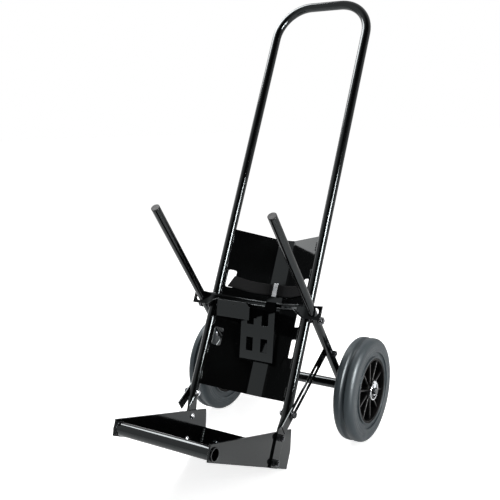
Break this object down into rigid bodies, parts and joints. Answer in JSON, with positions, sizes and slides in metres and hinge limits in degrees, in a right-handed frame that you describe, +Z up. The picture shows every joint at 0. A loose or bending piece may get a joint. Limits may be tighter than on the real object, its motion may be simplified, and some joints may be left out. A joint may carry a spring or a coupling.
{
  "type": "gas cylinder trolley",
  "caption": "Two-wheeled tube-frame trolley for a gas cylinder, with a bolted foot platform, trough-shaped back plate, swinging wheel legs, tool rack and strap.",
  "frame": {"origin": "on the ground, at the middle of the standing trolley's outline", "axes": "+Z up, +X to the right seen from the front, -Y to the front where the platform is"},
  "size_m": [0.481, 0.7746, 1.0559],
  "materials": {
    "gloss_black": "gloss black paint",
    "bright_zinc": "bright plated steel",
    "axle_steel": "turned steel",
    "grey_tyre": "solid grey rubber",
    "black_nylon": "moulded plastic",
    "cap_plastic": "smooth plastic",
    "webbing": "woven strap"
  },
  "bodies": {
    "frame": {"rail_frame": "gloss_black", "back_plate": "gloss_black", "foot_side_left": "gloss_black", "foot_side_right": "gloss_black", "foot_floor": "gloss_black", "foot_wall": "gloss_black", "foot_tube": "gloss_black", "foot_bolts": "bright_zinc", "foot_nuts": "bright_zinc", "stay_bolts": "bright_zinc", "pivot_bolts": "bright_zinc", "strap_left": "webbing", "strap_right": "webbing", "strap_keeper": "bright_zinc"},
    "undercarriage": {"leg_left": "gloss_black", "leg_right": "gloss_black", "leg_cap_left": "cap_plastic", "leg_cap_right": "cap_plastic", "cross_bar": "gloss_black", "tag_plate": "gloss_black", "tool_rack": "gloss_black", "axle_tube": "gloss_black", "axle_rod": "axle_steel", "stay_pins": "bright_zinc", "axle_washers": "bright_zinc", "linch_pin_left": "bright_zinc", "linch_pin_right": "bright_zinc"},
    "stay_left": {"stay_left": "gloss_black"},
    "stay_right": {"stay_right": "gloss_black"},
    "wheel_left": {"tyre_left": "grey_tyre", "rim_left": "black_nylon", "bush_left": "axle_steel"},
    "wheel_right": {"tyre_right": "grey_tyre", "rim_right": "black_nylon", "bush_right": "axle_steel"},
    "ring_left": {"linch_ring_left": "bright_zinc"},
    "ring_right": {"linch_ring_right": "bright_zinc"}
  },
  "joints": [
    {"name": "leg_fold", "type": "hinge", "parent": "frame", "child": "undercarriage", "pos_m": [0, 0.00441, 0.33038], "axis": [-1, 0, 0], "range_deg": [0, 19]},
    {"name": "stay_left_pivot", "type": "hinge", "parent": "undercarriage", "child": "stay_left", "pos_m": [0, 0.07203, 0.23124], "axis": [-1, 0, 0], "range_deg": [-20, 0]},
    {"name": "stay_right_pivot", "type": "hinge", "parent": "undercarriage", "child": "stay_right", "pos_m": [0, 0.07203, 0.23124], "axis": [-1, 0, 0], "range_deg": [-20, 0]},
    {"name": "wheel_left_spin", "type": "hinge", "parent": "undercarriage", "child": "wheel_left", "pos_m": [-0.2049, 0.1445, 0.125], "axis": [1, 0, 0], "continuous": true},
    {"name": "wheel_right_spin", "type": "hinge", "parent": "undercarriage", "child": "wheel_right", "pos_m": [0.2049, 0.1445, 0.125], "axis": [1, 0, 0], "continuous": true},
    {"name": "ring_left_swing", "type": "hinge", "parent": "undercarriage", "child": "ring_left", "pos_m": [-0.2335, 0.1445, 0.146], "axis": [0, 1, 0], "range_deg": [0, 100]},
    {"name": "ring_right_swing", "type": "hinge", "parent": "undercarriage", "child": "ring_right", "pos_m": [0.2335, 0.1445, 0.146], "axis": [0, -1, 0], "range_deg": [0, 100]}
  ],
  "couplings": [
    {"joint": "stay_left_pivot", "follows": "leg_fold", "ratio": -1.035},
    {"joint": "stay_right_pivot", "follows": "leg_fold", "ratio": -1.035}
  ]
}
